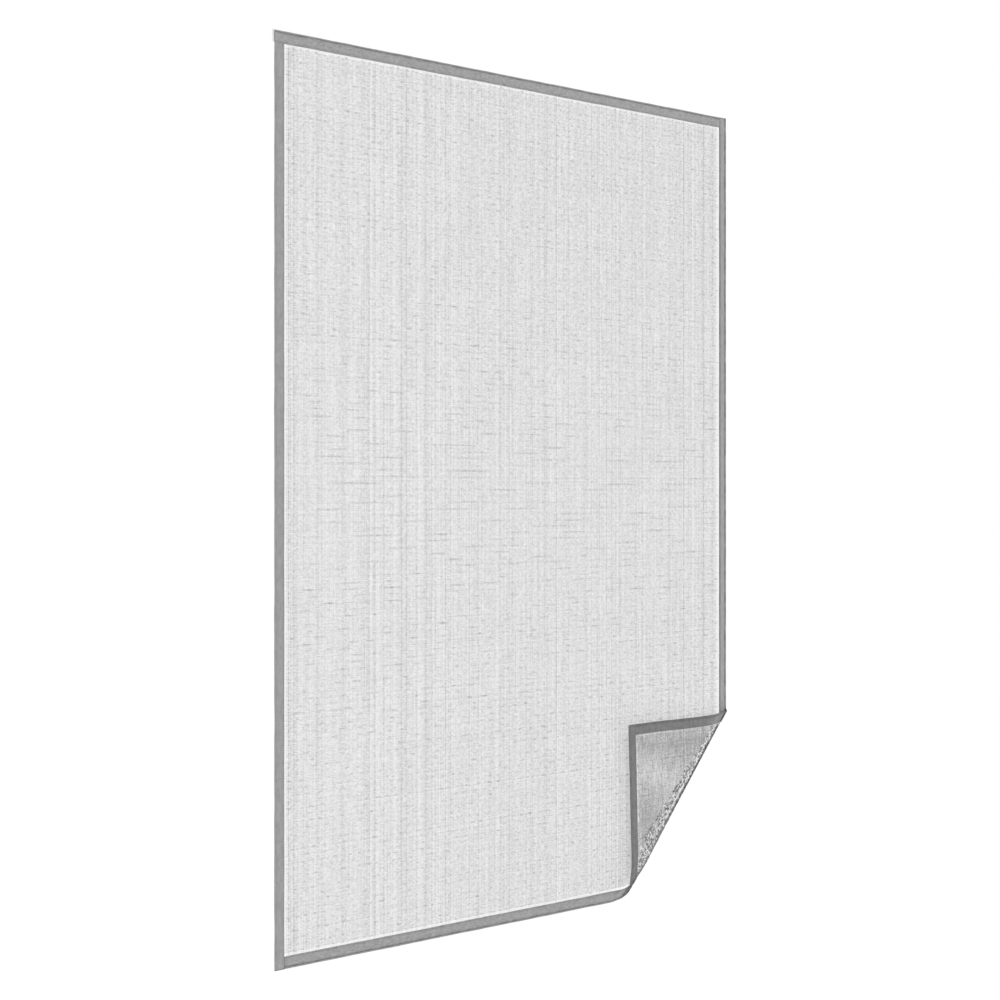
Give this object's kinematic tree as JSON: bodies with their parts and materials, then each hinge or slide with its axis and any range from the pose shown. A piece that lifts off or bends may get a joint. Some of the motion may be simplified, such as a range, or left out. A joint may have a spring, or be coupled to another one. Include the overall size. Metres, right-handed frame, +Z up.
{
  "type": "window insect screen",
  "caption": "Frameless rectangular insect net for a window, with sewn tape edges, rear loop tape for fixing, and its lower corner folded forward.",
  "frame": {"origin": "on the rear face of the top tape, in the middle of the screen's width and of the tape's width", "axes": "+X to the right seen from the front, +Z up along the screen's long side, +Y out of the rear face towards the window frame"},
  "size_m": [1.2035, 0.026, 1.5003],
  "materials": {
    "net": "open woven net of fine polyester thread",
    "front_tape": "woven polyester tape",
    "rear_tape": "napped loop tape",
    "thread": "spun sewing thread"
  },
  "bodies": {
    "root": {"insect_net": "net", "top_front_tape": "front_tape", "right_front_tape": "front_tape", "bottom_front_tape": "front_tape", "left_front_tape": "front_tape", "top_rear_tape": "rear_tape", "right_rear_tape": "rear_tape", "bottom_rear_tape": "rear_tape", "left_rear_tape": "rear_tape", "top_outer_seam": "thread", "top_inner_seam": "thread", "right_outer_seam": "thread", "right_inner_seam": "thread", "bottom_outer_seam": "thread", "bottom_inner_seam": "thread", "left_outer_seam": "thread", "left_inner_seam": "thread"}
  },
  "joints": []
}
